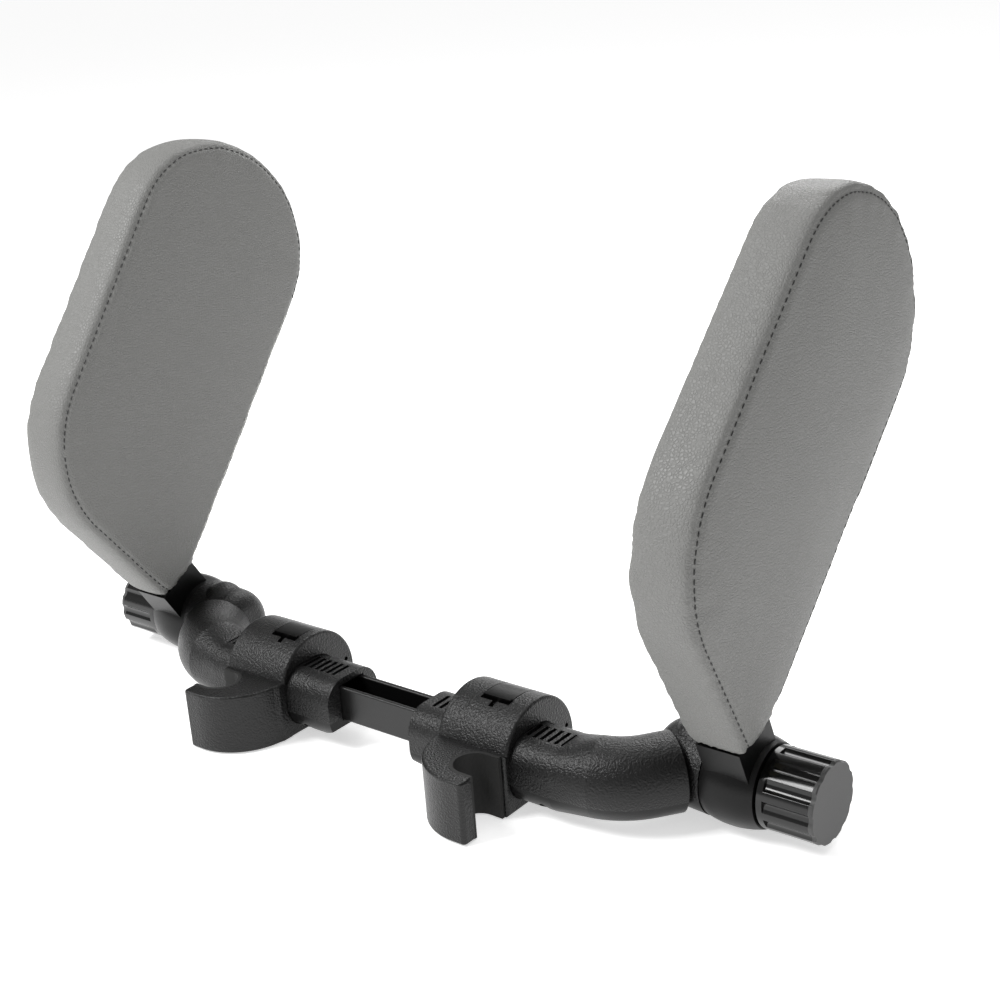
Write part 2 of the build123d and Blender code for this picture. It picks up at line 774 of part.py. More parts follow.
def make_knob_cap():
    """End cap with the same scooped outline and a spigot that snaps into the pocket."""
    cap_seat = knob_end - knob_cap_thickness
    flutes = make_flutes(cap_seat)
    with BuildPart() as cap:
        with BuildSketch(on_hinge(cap_seat)):
            Circle(knob_radius)
        extrude(amount=knob_cap_thickness)
        chamfer(cap.edges().sort_by(Axis.X)[-1], knob_edge_break)
        add(flutes.part, mode=Mode.SUBTRACT)
        fillet(ridge_edges(cap, cap_seat), knob_ridge_round)
        with BuildSketch(on_hinge(cap_seat)):
            Circle(knob_pocket_radius - bolt_clearance)
            Circle(knob_pocket_radius - cap_spigot_wall, mode=Mode.SUBTRACT)
        extrude(amount=-knob_cap_spigot)
    return cap


# ---------------------------------------------------------------- wing
def neck_band(side, x, width, near, far):
    """Band from the hinge axis out through the wing's opening, as a sketch facing +X at x."""
    with BuildSketch(on_wing(x, side)) as band:
        with Locations(Location((0, 0, 0), neck_angle)):
            with Locations(((near + far) / 2, neck_shift)):
                Rectangle(far - near, width)
    return band.sketch


def make_wing_hub(side):
    """Barrel on the pivot with a neck that enters the wing and a forked tang for the core plate."""
    neck_x = hub_inner + neck_side_gap
    tang_x = wing_middle_x - tang_thickness / 2
    slot_x = wing_middle_x - plate_thickness / 2
    tang_end = opening_reach + tang_depth
    with BuildPart() as hub:
        with BuildSketch(hinge_profile):
            with BuildLine():
                Line((hub_inner, 0), (hub_inner, hub_face_radius))
                ThreePointArc(
                    (hub_inner, hub_face_radius),
                    (hub_inner + hub_length * hub_bulge_share, hub_bulge_radius),
                    (hub_outer, hub_outer_radius),
                )
                Line((hub_outer, hub_outer_radius), (hub_outer, 0))
                Line((hub_outer, 0), (hub_inner, 0))
            make_face()
        revolve(axis=hinge_axis)
        neck = neck_band(side, neck_x, neck_width, neck_start, opening_reach)
        extrude(neck, amount=hub_length - 2 * neck_side_gap)
        extrude(neck_band(side, tang_x, tang_width, tang_start_reach, tang_end), amount=tang_thickness)
        fork = neck_band(side, slot_x, 2 * tang_width, opening_reach + plate_margin / 2, 2 * tang_end)
        extrude(fork, amount=plate_thickness, mode=Mode.SUBTRACT)
        with BuildSketch(on_hinge(hub_inner)):
            Circle(bolt_radius + bolt_clearance)
        extrude(amount=hub_length, mode=Mode.SUBTRACT)
        with BuildSketch(on_hinge(hub_outer)):
            Circle(thrust_washer_radius + thrust_recess_clearance)
        extrude(amount=-thrust_washer_recess, mode=Mode.SUBTRACT)
        with BuildSketch(on_wing(tang_x, side)):
            with Locations(*screw_points()):
                Circle(plate_screw_radius)
        extrude(amount=tang_thickness, mode=Mode.SUBTRACT)
    return hub


def screw_points():
    """Places of the core plate's screws, in the wing's own axes."""
    angle = radians(neck_angle)
    return [
        (reach * cos(angle) - neck_shift * sin(angle), reach * sin(angle) + neck_shift * cos(angle))
        for reach in plate_screw_reaches
    ]


def wing_outline(x, side, inset=0.0):
    """Paddle outline: straight parallel edges, rounded top, and a chin that runs down to the tip."""
    chin_corner_v = wing_tip_v + (wing_tip_u - wing_front_u) * tan(radians(wing_chin_angle))
    crown_half = wing_width / 2 - wing_shoulder_radius * (1 - cos(radians(wing_shoulder_angle)))
    crown_radius = crown_half / cos(radians(wing_shoulder_angle))
    top_rise = wing_shoulder_radius * sin(radians(wing_shoulder_angle)) + crown_radius * (
        1 - sin(radians(wing_shoulder_angle))
    )
    edge_top = wing_top - top_rise
    with BuildSketch(on_wing(x, side)) as outline:
        with BuildLine():
            Polyline((wing_tip_u, wing_tip_v), (wing_front_u, chin_corner_v), (wing_front_u, edge_top))
            front = JernArc((wing_front_u, edge_top), (0, 1), wing_shoulder_radius, -wing_shoulder_angle)
            crown = JernArc(front @ 1, front % 1, crown_radius, -2 * (90 - wing_shoulder_angle))
            back = JernArc(crown @ 1, crown % 1, wing_shoulder_radius, -wing_shoulder_angle)
            Polyline(back @ 1, (wing_heel_u, wing_heel_v), (wing_tip_u, wing_tip_v))
        make_face()
        fillet(outline.vertices().sort_by_distance((wing_front_u, chin_corner_v, 0))[0], wing_chin_radius)
        if inset:
            offset(amount=-inset, kind=Kind.INTERSECTION, mode=Mode.REPLACE)
    return outline.sketch


def make_wing_plate(side):
    """Flat core board of the wing, screwed into the tang."""
    with BuildPart() as plate:
        extrude(
            wing_outline(wing_middle_x - plate_thickness / 2, side, plate_margin),
            amount=plate_thickness,
        )
        with BuildSketch(on_wing(wing_middle_x - plate_thickness / 2, side)):
            with Locations(*screw_points()):
                Circle(plate_screw_radius)
        extrude(amount=plate_thickness, mode=Mode.SUBTRACT)
    return plate


def make_plate_screws(side):
    """Two screws that clamp the core plate in the forked tang."""
    tang_x = wing_middle_x - tang_thickness / 2
    with BuildPart() as screws:
        with BuildSketch(on_wing(tang_x, side)):
            with Locations(*screw_points()):
                Circle(plate_screw_radius)
        extrude(amount=tang_thickness)
        with BuildSketch(on_wing(tang_x + tang_thickness, side)):
            with Locations(*screw_points()):
                Circle(plate_screw_head_radius)
        extrude(amount=plate_screw_head_height)
    return screws


def make_wing_foam(side, hub, plate, screws):
    """Foam core that fills the cover round the plate, the tang and its screws."""
    with BuildPart() as foam:
        extrude(
            wing_outline(wing_inner_face + cover_thickness, side, cover_thickness),
            amount=wing_thickness - 2 * cover_thickness,
        )
        for inside in (hub, plate, screws):
            add(inside.part, mode=Mode.SUBTRACT)
        mouth_width = neck_width + 2 * foam_neck_gap
        mouth = neck_band(side, wing_inner_face, mouth_width, 0, opening_reach + 2 * cover_thickness)
        extrude(mouth, amount=wing_thickness, mode=Mode.SUBTRACT)
    return foam


def make_wing_cover(side):
    """Sewn leathercloth cover, open along the short edge where the neck goes in."""
    with BuildPart() as cover:
        extrude(wing_outline(wing_inner_face, side), amount=wing_thickness)
        inside = wing_outline(wing_inner_face + cover_thickness, side, cover_thickness)
        extrude(inside, amount=wing_thickness - 2 * cover_thickness, mode=Mode.SUBTRACT)
        mouth_x = wing_inner_face + cover_thickness
        mouth = neck_band(side, mouth_x, neck_width, 0, opening_reach + cover_opening_depth)
        extrude(mouth, amount=wing_thickness - 2 * cover_thickness, mode=Mode.SUBTRACT)
    return cover


# ---------------------------------------------------------------- all pieces
pieces = {"rail": make_rail()}
whole_arm = make_arm()
for side in ("right", "left"):
    hub = make_wing_hub(side)
    plate = make_wing_plate(side)
    plate_screws = make_plate_screws(side)
    right_hand = {
        "arm_top_shell": arm_half(whole_arm, Keep.TOP),
        "arm_bottom_shell": arm_half(whole_arm, Keep.BOTTOM),
        "arm_screws": make_arm_screws(),
        "rail_stop_screw": make_stop_screw(),
        "rail_brake_pad": make_brake_pad(),
        "clip_body": make_clip_body(side),
        "clip_liner": make_clip_liner(side),
        "clip_latch": make_latch(),
        "latch_pin": make_latch_pin(side),
        "latch_spring": make_latch_spring(),
        "pivot_bolt": make_pivot_bolt(),
        "friction_washer": hinge_ring(
            bolt_radius + washer_clearance,
            friction_washer_radius,
            boss_face + hub_gap / 2 - friction_washer_thickness,
            friction_washer_thickness,
        ),
        "thrust_washer": hinge_ring(
            bolt_radius + washer_clearance,
            thrust_washer_radius,
            hub_outer - thrust_washer_recess,
            thrust_washer_thickness,
        ),
        "knob_grip": make_knob_grip(),
        "knob_insert": make_knob_insert(),
        "knob_cap": make_knob_cap(),
        "wing_hub": hub,
        "wing_plate": plate,
        "wing_plate_screws": plate_screws,
        "wing_foam": make_wing_foam(side, hub, plate, plate_screws),
        "wing_cover": make_wing_cover(side),
    }
    for name, piece in right_hand.items():
        pieces[side + "_" + name] = handed(piece, side)

# the frame of the finished part: origin in the middle of the right-hand hook, on the post's axis
hook_middle_z = (hook_top + clip_bottom) / 2
to_part_frame = Location((-post_x("right"), -post_y, -hook_middle_z))

os.makedirs("parts", exist_ok=True)
for name, piece in pieces.items():
    piece.part.locate(to_part_frame)
    piece.part.label = name
    export_step(piece.part, f"parts/{name}.step")
box = pieces["rail"].part.bounding_box()
for piece in pieces.values():
    box = box.add(piece.part.bounding_box())
print("lowest corner", box.min)
print("highest corner", box.max)
print("rail axis", to_part_frame.position)
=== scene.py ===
from math import cos, exp, radians, sin

import bmesh
import bpy
from mathutils import Matrix, Vector, noise
from mathutils.bvhtree import BVHTree
from mathutils.kdtree import KDTree


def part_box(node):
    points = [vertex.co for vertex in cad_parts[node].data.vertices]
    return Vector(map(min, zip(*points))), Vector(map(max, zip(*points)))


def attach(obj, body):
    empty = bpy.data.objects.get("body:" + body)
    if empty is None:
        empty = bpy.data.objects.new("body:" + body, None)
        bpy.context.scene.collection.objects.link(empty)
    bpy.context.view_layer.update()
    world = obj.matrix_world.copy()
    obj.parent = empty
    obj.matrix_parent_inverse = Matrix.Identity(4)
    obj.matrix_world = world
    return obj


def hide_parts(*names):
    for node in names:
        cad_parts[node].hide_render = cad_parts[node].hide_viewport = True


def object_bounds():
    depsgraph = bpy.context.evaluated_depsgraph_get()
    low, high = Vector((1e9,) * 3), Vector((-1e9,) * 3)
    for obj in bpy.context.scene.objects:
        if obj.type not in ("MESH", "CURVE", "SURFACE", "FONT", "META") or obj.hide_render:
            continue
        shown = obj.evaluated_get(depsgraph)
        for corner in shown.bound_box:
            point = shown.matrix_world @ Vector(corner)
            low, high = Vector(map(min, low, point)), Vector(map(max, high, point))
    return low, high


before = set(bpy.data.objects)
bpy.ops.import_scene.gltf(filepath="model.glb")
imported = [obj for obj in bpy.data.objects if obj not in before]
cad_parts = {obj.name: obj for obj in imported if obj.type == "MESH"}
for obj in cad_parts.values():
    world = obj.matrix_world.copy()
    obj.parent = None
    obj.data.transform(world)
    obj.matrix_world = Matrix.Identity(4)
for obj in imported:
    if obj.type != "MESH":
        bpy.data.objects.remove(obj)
cad_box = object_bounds()

MM = 0.001
SIDES = ("right", "left")


# ------------------------------------------------------------------ materials
def linear(hex_colour):
    """Turns an sRGB hex colour into the linear colour that shaders take."""
    channels = [int(hex_colour[i:i + 2], 16) / 255 for i in (1, 3, 5)]
    return [c / 12.92 if c <= 0.04045 else ((c + 0.055) / 1.055) ** 2.4 for c in channels] + [1]


def node(tree, kind, settings=None, **links):
    """Adds a node. Settings are its properties or the values of its inputs, and links feed its inputs."""
    added = tree.nodes.new("ShaderNode" + kind)
    for name, value in (settings or {}).items():
        if name in added.inputs:
            added.inputs[name].default_value = value
        else:
            setattr(added, name, value)
    for name, source in links.items():
        tree.links.new(source, added.inputs[name.replace("_", " ")])
    return added


def new_material(name, **surface):
    """A material with one Principled shader, and that shader's settings."""
    material = bpy.data.materials.new(name)
    material.use_nodes = True
    tree = material.node_tree
    shader = tree.nodes["Principled BSDF"]
    for key, value in surface.items():
        shader.inputs[key.replace("_", " ")].default_value = value
    return material, tree, shader


def per(size_mm):
    """Texture scale at which one cell of a pattern measures size_mm."""
    return 1000 / size_mm


def relief(tree, shader, height, depth_mm, strength=1.0):
    """Feeds a height pattern to the shader's normal, as a relief depth_mm deep."""
    bump = node(tree, "Bump", {"Strength": strength, "Distance": depth_mm * MM}, Height=height)
    tree.links.new(bump.outputs["Normal"], shader.inputs["Normal"])


def place(tree):
    """Where a point is on its object, which every pattern takes its place from."""
    return node(tree, "TexCoord").outputs["Object"]


def grained(name, colour, roughness, grain_mm, depth_mm, **surface):
    """A moulded plastic or rubber whose tool left a fine even grain."""
    material, tree, shader = new_material(name, Base_Color=linear(colour), Roughness=roughness, **surface)
    settings = {"Scale": per(grain_mm), "Detail": 2.0, "Roughness": 0.5}
    grain = node(tree, "TexNoise", settings, Vector=place(tree))
    relief(tree, shader, grain.outputs["Fac"], depth_mm)
    return material


def metal(name, colour, roughness, mark_mm):
    """A turned or plated metal with faint marks, rougher in places."""
    material, tree, shader = new_material(name, Base_Color=linear(colour), Metallic=1.0)
    marks = node(tree, "TexNoise", {"Scale": per(mark_mm), "Detail": 4.0}, Vector=place(tree))
    spread = node(
        tree, "MapRange", {"To Min": roughness - 0.06, "To Max": roughness + 0.08}, Value=marks.outputs["Fac"]
    )
    tree.links.new(spread.outputs["Result"], shader.inputs["Roughness"])
    return material


def pebbled(name, colour, roughness, cell_mm, depth_mm):
    """Leathercloth: raised pebbles between fine creases, over a slow rise and fall of the knit behind."""
    material, tree, shader = new_material(name, Base_Color=linear(colour), Roughness=roughness)
    where = place(tree)
    wander = node(tree, "TexNoise", {"Scale": per(cell_mm * 2), "Detail": 2.0}, Vector=where)
    nudge = node(tree, "VectorMath", {"operation": "SCALE", "Scale": cell_mm * 0.8 * MM})
    tree.links.new(wander.outputs["Color"], nudge.inputs[0])
    shifted = node(tree, "VectorMath", {"operation": "ADD"})
    tree.links.new(where, shifted.inputs[0])
    tree.links.new(nudge.outputs["Vector"], shifted.inputs[1])
    creases = {"feature": "DISTANCE_TO_EDGE", "Scale": per(cell_mm)}
    cells = node(tree, "TexVoronoi", creases, Vector=shifted.outputs["Vector"])
    pebble = node(tree, "MapRange", {"From Max": 0.22}, Value=cells.outputs["Distance"])
    relief(tree, shader, pebble.outputs["Result"], depth_mm, 0.8)
    dull_to_smooth = {"To Min": roughness + 0.1, "To Max": roughness - 0.03}
    tone = node(tree, "MapRange", dull_to_smooth, Value=pebble.outputs["Result"])
    tree.links.new(tone.outputs["Result"], shader.inputs["Roughness"])
    return material


def celled(name, colour, roughness, cell_mm, depth_mm):
    """Open foam or knit: rounded cells of one size."""
    material, tree, shader = new_material(name, Base_Color=linear(colour), Roughness=roughness)
    cells = node(tree, "TexVoronoi", {"Scale": per(cell_mm)}, Vector=place(tree))
    relief(tree, shader, cells.outputs["Distance"], depth_mm)
    return material


def plywood(name, light, dark, ring_mm):
    """Birch plywood: slow bands of grain along the sheet."""
    material, tree, shader = new_material(name, Roughness=0.6)
    bands = node(
        tree,
        "TexWave",
        {"Scale": per(ring_mm) / 20, "Distortion": 6.0, "Detail": 3.0, "bands_direction": "Z"},
        Vector=place(tree),
    )
    ramp = node(tree, "ValToRGB", Fac=bands.outputs["Fac"])
    ramp.color_ramp.elements[0].color = linear(dark)
    ramp.color_ramp.elements[1].color = linear(light)
    tree.links.new(ramp.outputs["Color"], shader.inputs["Base Color"])
    return material


# spark-eroded black ABS, as on the clamps and the upper half of each arm
textured_black_abs = grained("textured_black_abs", "#0b0b0b", 0.36, 1.0, 0.5, Specular_IOR_Level=0.36)
# satin black ABS, moulded in a blasted tool
satin_black_abs = grained("satin_black_abs", "#080808", 0.32, 0.6, 0.05, Specular_IOR_Level=0.22)
# polished black ABS of the fluted knob
gloss_black_abs = grained("gloss_black_abs", "#070707", 0.16, 3.0, 0.01, Specular_IOR_Level=0.45)
# dark grey ABS of the flat end cap
grey_cap_abs = grained("grey_cap_abs", "#3d3d3d", 0.48, 0.5, 0.03)
# glass-filled nylon of the rail
black_rail = grained("black_rail", "#0a0a0a", 0.32, 0.7, 0.05, Specular_IOR_Level=0.4)
# soft rubber of the post liners
liner_rubber = grained("liner_rubber", "#121211", 0.75, 0.4, 0.05)
# white acetal washers
acetal = grained("acetal", "#dcd8ca", 0.42, 0.8, 0.01)
# zinc-plated steel screws, bolts and springs
zinc_steel = metal("zinc_steel", "#b9bbbd", 0.32, 0.5)
# turned brass insert
brass = metal("brass", "#c9a25a", 0.3, 0.5)
# birch plywood board inside each wing
core_board = plywood("core_board", "#cda873", "#a67c48", 3.0)
# grained polyurethane leathercloth
grey_leathercloth = pebbled("grey_leathercloth", "#747472", 0.52, 1.6, 0.22)
# off-white knitted backing of the leathercloth
knit_backing = celled("knit_backing", "#d9d6cc", 0.9, 0.7, 0.2)
# cream open-cell polyurethane foam
pad_foam = celled("pad_foam", "#d8d0b6", 0.95, 0.9, 0.3)
# dark grey polyester sewing thread
dark_thread = grained("dark_thread", "#2a2a29", 0.6, 0.3, 0.05)
# pale grey closing thread
pale_thread = grained("pale_thread", "#cfcfca", 0.6, 0.3, 0.05)

FINISH = {
    "rail": black_rail,
    "arm_top_shell": textured_black_abs,
    "arm_bottom_shell": satin_black_abs,
    "arm_screws": zinc_steel,
    "rail_stop_screw": zinc_steel,
    "rail_brake_pad": acetal,
    "clip_body": textured_black_abs,
    "clip_liner": liner_rubber,
    "clip_latch": satin_black_abs,
    "latch_pin": zinc_steel,
    "latch_spring": zinc_steel,
    "pivot_bolt": zinc_steel,
    "friction_washer": acetal,
    "thrust_washer": acetal,
    "knob_grip": gloss_black_abs,
    "knob_insert": brass,
    "knob_cap": grey_cap_abs,
    "wing_hub": satin_black_abs,
    "wing_plate": core_board,
    "wing_plate_screws": zinc_steel,
    "wing_foam": pad_foam,
    "wing_cover": grey_leathercloth,
}
for name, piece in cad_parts.items():
    piece.data.materials.clear()
    piece.data.materials.append(FINISH[name.removeprefix("right_").removeprefix("left_")])

# ------------------------------------------------------------------ sewn wings
EDGE_ROOM = 0.1 * MM  # the slab starts this much inside the sewn outline
PUFF_ROOM = 2.6 * MM  # and this much inside each face, and swells out to them
SLAB_ROUND = 2.5 * MM
VOXEL = 5 * MM
EVENING_PASSES = 3
CLOTH_PRESSURE = 4
CLOTH_FRAMES = 20
HELD_LEAN = 0.9  # points whose normal lies less than this along X belong to the sewn edge, which holds still
CROWN = 4.0 * MM  # the most that any point of a face swells
FOAM_GAP = 2.6 * MM
COVER_WALL = 1.2 * MM
SLOW_SWELL = (38, 0.25 * MM)  # size in mm and height of the leathercloth's unevenness
QUICK_SWELL = (15, 0.1 * MM)
SAME_POINT = 1e-6
ON_PLANE = 1e-5
NEAR_EDGE = 1.0 * MM
SAMPLE_PITCH = 0.6 * MM
RAY_INSET = 12 * MM
SEAM_WIDTH = 1.5 * MM
SEAM_DEPTH = 0.9 * MM
FOLD_SHARE = 0.45  # the folded back edge is this much as deep as a seam
STITCH_PITCH = 3.7 * MM
STITCH_LENGTH = 2.7 * MM
STITCH_RADIUS = 0.36 * MM
CLOSING_PITCH = 5.4 * MM
CLOSING_LENGTH = 3.4 * MM
CLOSING_RADIUS = 0.42 * MM
CLOSING_INSET = 5.5 * MM
CLOSING_PARTS = 20  # the last one of these parts of the back edge has no closing stitches
THREAD_LIFT = 0.35  # of a thread's radius, above the cover
MOUTH_BORDER = 4 * MM
MOUTH_END = 1 * MM
MOUTH_LEAN = 0.7
RAGGED = 0.9 * MM
RAGGED_SIZE = 2.2
# corners of each wing's outline (y, z): both ends of the open short edge, then the far end of the back edge
TIP = {"right": (0.0412, 0.0322), "left": (0.0376, 0.0278)}
HEEL = {"right": (0.0684, 0.0435), "left": (0.0627, 0.0431)}
BACK_TOP = {"right": (0.1888, 0.1563), "left": (0.1645, 0.1730)}


def object_of(name, bm, *materials):
    """A smooth-shaded object from a bmesh, which is used up."""
    mesh = bpy.data.meshes.new(name)
    bm.to_mesh(mesh)
    bm.free()
    mesh.shade_smooth()
    obj = bpy.data.objects.new(name, mesh)
    for material in materials:
        mesh.materials.append(material)
    bpy.context.scene.collection.objects.link(obj)
    return obj


def work_in(obj):
    """Replaces the object's mesh with the one its modifiers give."""
    graph = bpy.context.evaluated_depsgraph_get()
    mesh = bpy.data.meshes.new_from_object(obj.evaluated_get(graph))
    obj.modifiers.clear()
    obj.data = mesh


def face_sheet(side):
    """The inner face of the cover, cut out of the CAD cover, as one flat face."""
    low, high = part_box(f"{side}_wing_cover")
    inner_x = low[0] if side == "right" else high[0]
    bm = bmesh.new()
    bm.from_mesh(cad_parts[f"{side}_wing_cover"].data)
    bmesh.ops.remove_doubles(bm, verts=bm.verts, dist=SAME_POINT)
    others = [f for f in bm.faces if any(abs(v.co.x - inner_x) > ON_PLANE for v in f.verts)]
    bmesh.ops.delete(bm, geom=others, context="FACES")
    bmesh.ops.dissolve_faces(bm, faces=bm.faces)
    return bm


def near_line(point, a, b):
    """Whether a point lies on the straight edge from a to b."""
    a, b = Vector(a), Vector(b)
    along = (b - a).normalized()
    reach = (point - a).dot(along)
    away = (point - a - along * reach).length
    return away < NEAR_EDGE and -NEAR_EDGE < reach < (b - a).length + NEAR_EDGE


def outline_samples(side, bm):
    """Closely spaced points round the outline (y, z), each with its outward direction and its edge."""
    corners = [Vector((v.co.y, v.co.z)) for v in bm.faces[:][0].verts]
    centre = sum(corners, Vector((0, 0))) / len(corners)
    samples = []
    for a, b in zip(corners, corners[1:] + corners[:1]):
        along = b - a
        out = Vector((along.y, -along.x)).normalized()
        if out.dot((a + b) / 2 - centre) < 0:
            out = -out
        if all(near_line(p, TIP[side], HEEL[side]) for p in (a, b)):
            edge = "mouth"
        elif all(near_line(p, HEEL[side], BACK_TOP[side]) for p in (a, b)):
            edge = "back"
        else:
            edge = "seam"
        steps = max(1, round(along.length / SAMPLE_PITCH))
        samples += [(a + along * k / steps, out, edge) for k in range(steps)]
    return samples


def swollen_slab(side):
    """Foam-filled slab a little under the sewn size, blown up a little so that its faces crown."""
    low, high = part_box(f"{side}_wing_cover")
    inward = 1 if side == "right" else -1
    bm = face_sheet(side)
    bmesh.ops.inset_region(bm, faces=bm.faces, thickness=EDGE_ROOM, use_even_offset=True)
    middle_face = max(bm.faces, key=lambda f: f.calc_area())
    bmesh.ops.delete(bm, geom=[f for f in bm.faces if f is not middle_face], context="FACES")
    bmesh.ops.translate(bm, verts=bm.verts, vec=(inward * PUFF_ROOM, 0, 0))
    grown = bmesh.ops.extrude_face_region(bm, geom=bm.faces[:], use_keep_orig=True)
    far = [v for v in grown["geom"] if isinstance(v, bmesh.types.BMVert)]
    bmesh.ops.translate(bm, verts=far, vec=(inward * (high[0] - low[0] - 2 * PUFF_ROOM), 0, 0))
    bmesh.ops.recalc_face_normals(bm, faces=bm.faces)
    rims = [e for e in bm.edges if abs(e.verts[0].co.x - e.verts[1].co.x) < SAME_POINT]
    bmesh.ops.bevel(
        bm,
        geom=rims,
        offset=SLAB_ROUND,
        offset_type="OFFSET",
        segments=3,
        profile=0.5,
        affect="EDGES",
        material=-1,
    )
    slab = object_of(f"{side}_slab", bm)
    remesh = slab.modifiers.new("even", "REMESH")
    remesh.mode = "VOXEL"
    remesh.voxel_size = VOXEL
    work_in(slab)
    even = bmesh.new()
    even.from_mesh(slab.data)
    every_way = {"use_axis_x": True, "use_axis_y": True, "use_axis_z": True}
    for _ in range(EVENING_PASSES):
        bmesh.ops.smooth_vert(even, verts=even.verts, factor=0.5, **every_way)
    even.to_mesh(slab.data)
    even.free()
    fill_with_air(slab)
    return slab


def fill_with_air(slab):
    """Blows up the slab's faces as cloth, with the sewn edge held, and keeps them within CROWN."""
    start = [v.co.copy() for v in slab.data.vertices]
    cloth = slab.modifiers.new("filling", "CLOTH")
    cloth.settings.use_pressure = True
    cloth.settings.uniform_pressure_force = CLOTH_PRESSURE
    cloth.settings.effector_weights.gravity = 0
    held = slab.vertex_groups.new(name="sewn_edge")
    held.add([v.index for v in slab.data.vertices if abs(v.normal.x) < HELD_LEAN], 1.0, "REPLACE")
    cloth.settings.vertex_group_mass = held.name
    cloth.point_cache.frame_start = 1
    cloth.point_cache.frame_end = CLOTH_FRAMES
    for step in range(1, CLOTH_FRAMES + 1):
        bpy.context.scene.frame_set(step)
    work_in(slab)
    bpy.context.scene.frame_set(1)
    largest = max((v.co - was).length for v, was in zip(slab.data.vertices, start))
    share = min(1.0, CROWN / max(largest, SAME_POINT))
    for vertex, was in zip(slab.data.vertices, start):
        vertex.co = was + (vertex.co - was) * share


def wing_faces(side):
    """Name, X and inward direction of a wing's two faces."""
    low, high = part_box(f"{side}_wing_cover")
    if side == "right":
        return ("inner", low[0], 1), ("outer", high[0], -1)
    return ("inner", high[0], -1), ("outer", low[0], 1)


def edge_hit(tree, face_x, facing, point, out):
    """Where the cover's edge is, looking out diagonally from inside the pad, and its normal there."""
    start = Vector((face_x + facing * RAY_INSET, *(point - out * RAY_INSET)))
    return tree.ray_cast(start, Vector((-facing, *out)).normalized())[:2]


def closing_hit(tree, face_x, facing, point, out):
    """Where the cover's face is, a little in from its edge, and its normal there."""
    start = Vector((face_x + facing * RAY_INSET, *(point - out * CLOSING_INSET)))
    return tree.ray_cast(start, Vector((-facing, 0, 0)))[:2]


def foam_core(side, slab):
    """The foam, a little smaller than its cover."""
    bm = bmesh.new()
    bm.from_mesh(slab.data)
    bm.normal_update()
    for vertex in bm.verts:
        vertex.co -= vertex.normal * FOAM_GAP
    foam = object_of(f"{side}_pad_core", bm, pad_foam)
    rounding = foam.modifiers.new("round", "SUBSURF")
    rounding.levels = rounding.render_levels = 1
    return foam


def cover_surface(slab):
    """The cover's fine surface as a bmesh, which uses the slab up."""
    finer = slab.modifiers.new("finer", "SUBSURF")
    finer.levels = finer.render_levels = 2
    work_in(slab)
    bm = bmesh.new()
    bm.from_mesh(slab.data)
    bpy.data.objects.remove(slab)
    bm.normal_update()
    return bm


def sink_seams(side, bm, samples):
    """Draws the surface in along both faces' edges, and leaves it slightly uneven everywhere."""
    tree = BVHTree.FromBMesh(bm)
    marks = []
    for which, face_x, facing in wing_faces(side):
        for point, out, edge in samples:
            if edge != "mouth":
                hit, _ = edge_hit(tree, face_x, facing, point, out)
                if hit is not None:
                    marks.append((hit, FOLD_SHARE if (which, edge) == ("inner", "back") else 1.0))
    seams = KDTree(len(marks))
    for index, (hit, _) in enumerate(marks):
        seams.insert(hit, index)
    seams.balance()
    for vertex in bm.verts:
        _, index, away = seams.find(vertex.co)
        sink = SEAM_DEPTH * marks[index][1] * exp(-(away / SEAM_WIDTH) ** 2 / 2)
        swell = sum(noise.noise(vertex.co * per(size)) * height for size, height in (SLOW_SWELL, QUICK_SWELL))
        vertex.co += vertex.normal * (swell - sink)
    bm.normal_update()


def add_stitches(thread, spots, pitch, length, radius):
    """Adds a small spindle every pitch along a row of points on the cover."""
    walked = 0.0
    for (here, up), (ahead, _) in zip(spots, spots[1:]):
        step = (ahead - here).length
        walked += step
        if step > pitch or walked < pitch or step < SAME_POINT:
            continue
        walked = 0.0
        along = (ahead - here).normalized()
        across = along.cross(up).normalized()
        turned = Matrix((across, along.cross(across).normalized(), along)).transposed().to_4x4()
        stretch = Matrix.Diagonal((radius, radius, length / 2, 1))
        spot = Matrix.Translation(here + up * radius * THREAD_LIFT) @ turned @ stretch
        bmesh.ops.create_uvsphere(thread, u_segments=8, v_segments=5, radius=1, matrix=spot)


def seam_thread(side, tree, samples):
    """Dark stitches round both faces, but not where the inner face folds over at the back edge."""
    thread = bmesh.new()
    for which, face_x, facing in wing_faces(side):
        sewn = [(p, out) for p, out, edge in samples if edge == "seam" or (which, edge) == ("outer", "back")]
        hits = [edge_hit(tree, face_x, facing, point, out) for point, out in sewn]
        row = [(hit, up) for hit, up in hits if hit is not None]
        add_stitches(thread, row, STITCH_PITCH, STITCH_LENGTH, STITCH_RADIUS)
    return object_of(f"{side}_seam_thread", thread, dark_thread)


def closing_thread(side, tree, samples):
    """Pale stitches that close the inner face along its straight back edge."""
    _, face_x, facing = wing_faces(side)[0]
    hits = [closing_hit(tree, face_x, facing, point, out) for point, out, edge in samples if edge == "back"]
    row = [(hit, up) for hit, up in hits if hit is not None]
    row = row[: len(row) * (CLOSING_PARTS - 1) // CLOSING_PARTS]
    thread = bmesh.new()
    add_stitches(thread, row, CLOSING_PITCH, CLOSING_LENGTH, CLOSING_RADIUS)
    return object_of(f"{side}_closing_thread", thread, pale_thread)


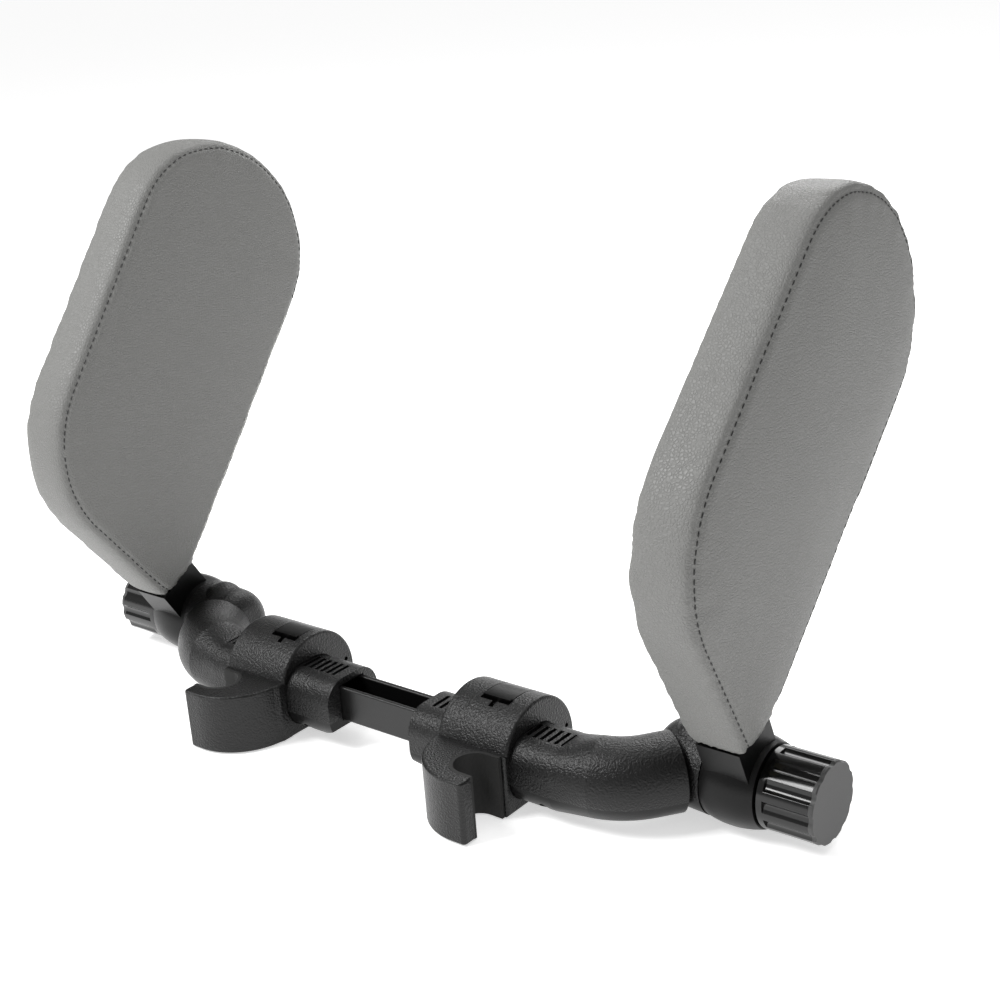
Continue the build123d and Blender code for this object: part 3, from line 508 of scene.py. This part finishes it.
def open_short_edge(side, bm):
    """Cuts the short edge open, where the neck goes in, and leaves its cut edge a little ragged."""
    low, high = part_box(f"{side}_wing_cover")
    tip, heel = Vector(TIP[side]), Vector(HEEL[side])
    along = (heel - tip).normalized()
    down = Vector((along.y, -along.x))
    span = (heel - tip).length
    middle_x = (low[0] + high[0]) / 2
    opened = []
    for face in bm.faces:
        centre = face.calc_center_median()
        reach = (Vector((centre.y, centre.z)) - tip).dot(along)
        facing_down = face.normal.y * down.x + face.normal.z * down.y
        within = abs(centre.x - middle_x) < (high[0] - low[0]) / 2 - MOUTH_BORDER
        if within and facing_down > MOUTH_LEAN and MOUTH_END < reach < span - MOUTH_END:
            opened.append(face)
    bmesh.ops.delete(bm, geom=opened, context="FACES")
    for vertex in bm.verts:
        if vertex.is_boundary:
            drop = (noise.noise(vertex.co * per(RAGGED_SIZE)) + 1) * RAGGED
            vertex.co += Vector((0, down.x, down.y)) * drop
    bmesh.ops.recalc_face_normals(bm, faces=bm.faces)


def wing_pieces(side):
    """The leathercloth cover, its threads and its foam, for one wing."""
    sheet = face_sheet(side)
    samples = outline_samples(side, sheet)
    sheet.free()
    slab = swollen_slab(side)
    foam = foam_core(side, slab)
    surface = cover_surface(slab)
    sink_seams(side, surface, samples)
    tree = BVHTree.FromBMesh(surface)
    open_short_edge(side, surface)
    cover = object_of(f"{side}_sewn_cover", surface, grey_leathercloth, knit_backing)
    wall = cover.modifiers.new("cloth", "SOLIDIFY")
    wall.thickness = COVER_WALL
    wall.offset = -1
    wall.material_offset = 1
    wall.material_offset_rim = 1
    for piece, finish in (
        (cover, "grey_leathercloth"),
        (foam, "pad_foam"),
        (seam_thread(side, tree, samples), "grey_leathercloth"),
        (closing_thread(side, tree, samples), "grey_leathercloth"),
    ):
        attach(piece, f"{side}_wing")
    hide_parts(f"{side}_wing_cover")
    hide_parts(f"{side}_wing_foam")


for side in SIDES:
    wing_pieces(side)


# ------------------------------------------------------------------ stage, lights and camera
def look_matrix(yaw, pitch, roll, place):
    """Camera placement from its heading, its tilt down and its roll."""
    forward = Vector((-sin(yaw) * cos(pitch), cos(yaw) * cos(pitch), -sin(pitch)))
    level = Vector((cos(yaw), sin(yaw), 0))
    down = forward.cross(level)
    right = level * cos(roll) + down * sin(roll)
    under = down * cos(roll) - level * sin(roll)
    turned = Matrix((right, -under, -forward)).transposed().to_4x4()
    return Matrix.Translation(place) @ turned


def area_light(name, place, target, size, power):
    """A square soft light that looks at a point."""
    lamp = bpy.data.lights.new(name, "AREA")
    lamp.size = size
    lamp.energy = power
    obj = bpy.data.objects.new(name, lamp)
    obj.location = place
    obj.rotation_euler = (Vector(target) - Vector(place)).to_track_quat("-Z", "Y").to_euler()
    bpy.context.scene.collection.objects.link(obj)
    return obj


CAMERA_PLACE = (0.4595, -0.5217, 0.4007)
CAMERA_YAW, CAMERA_PITCH, CAMERA_ROLL = (radians(angle) for angle in (39.63, 20.26, 4.15))
WORLD_LIGHT = 0.42
FLOOR_SIZE = 8
FLOOR_GAP = 0.5 * MM

lens = bpy.data.cameras.new("camera")
lens.lens = 61.27
lens.sensor_width = 36.0
camera = bpy.data.objects.new("camera", lens)
camera.matrix_world = look_matrix(CAMERA_YAW, CAMERA_PITCH, CAMERA_ROLL, CAMERA_PLACE)
bpy.context.scene.collection.objects.link(camera)
bpy.context.scene.camera = camera

world = bpy.data.worlds.new("studio")
world.use_nodes = True
world.node_tree.nodes["Background"].inputs["Color"].default_value = (1, 1, 1, 1)
world.node_tree.nodes["Background"].inputs["Strength"].default_value = WORLD_LIGHT
bpy.context.scene.world = world
bpy.context.scene.view_settings.view_transform = "Standard"

floor_mesh = bmesh.new()
bmesh.ops.create_grid(floor_mesh, x_segments=1, y_segments=1, size=FLOOR_SIZE)
floor_data = bpy.data.meshes.new("floor")
floor_mesh.to_mesh(floor_data)
floor = bpy.data.objects.new("floor", floor_data)
floor_data.transform(Matrix.Translation((0, 0, cad_box[0][2] - FLOOR_GAP)))
# matt white studio paper
paper, _, _ = new_material(
    "pale_floor",
    Base_Color=linear("#f7f7f7"),
    Roughness=0.9,
    Emission_Color=(1, 1, 1, 1),
    Emission_Strength=0.56,
)
floor_data.materials.append(paper)
bpy.context.scene.collection.objects.link(floor)

middle = (Vector(cad_box[0]) + Vector(cad_box[1])) / 2
area_light("key", (-0.9, -0.9, 1.5), middle, 0.7, 32)
area_light("top", (0.1, 0.35, 1.7), middle, 1.4, 8)
area_light("rim", (-0.5, 1.3, 0.9), middle, 0.8, 9)
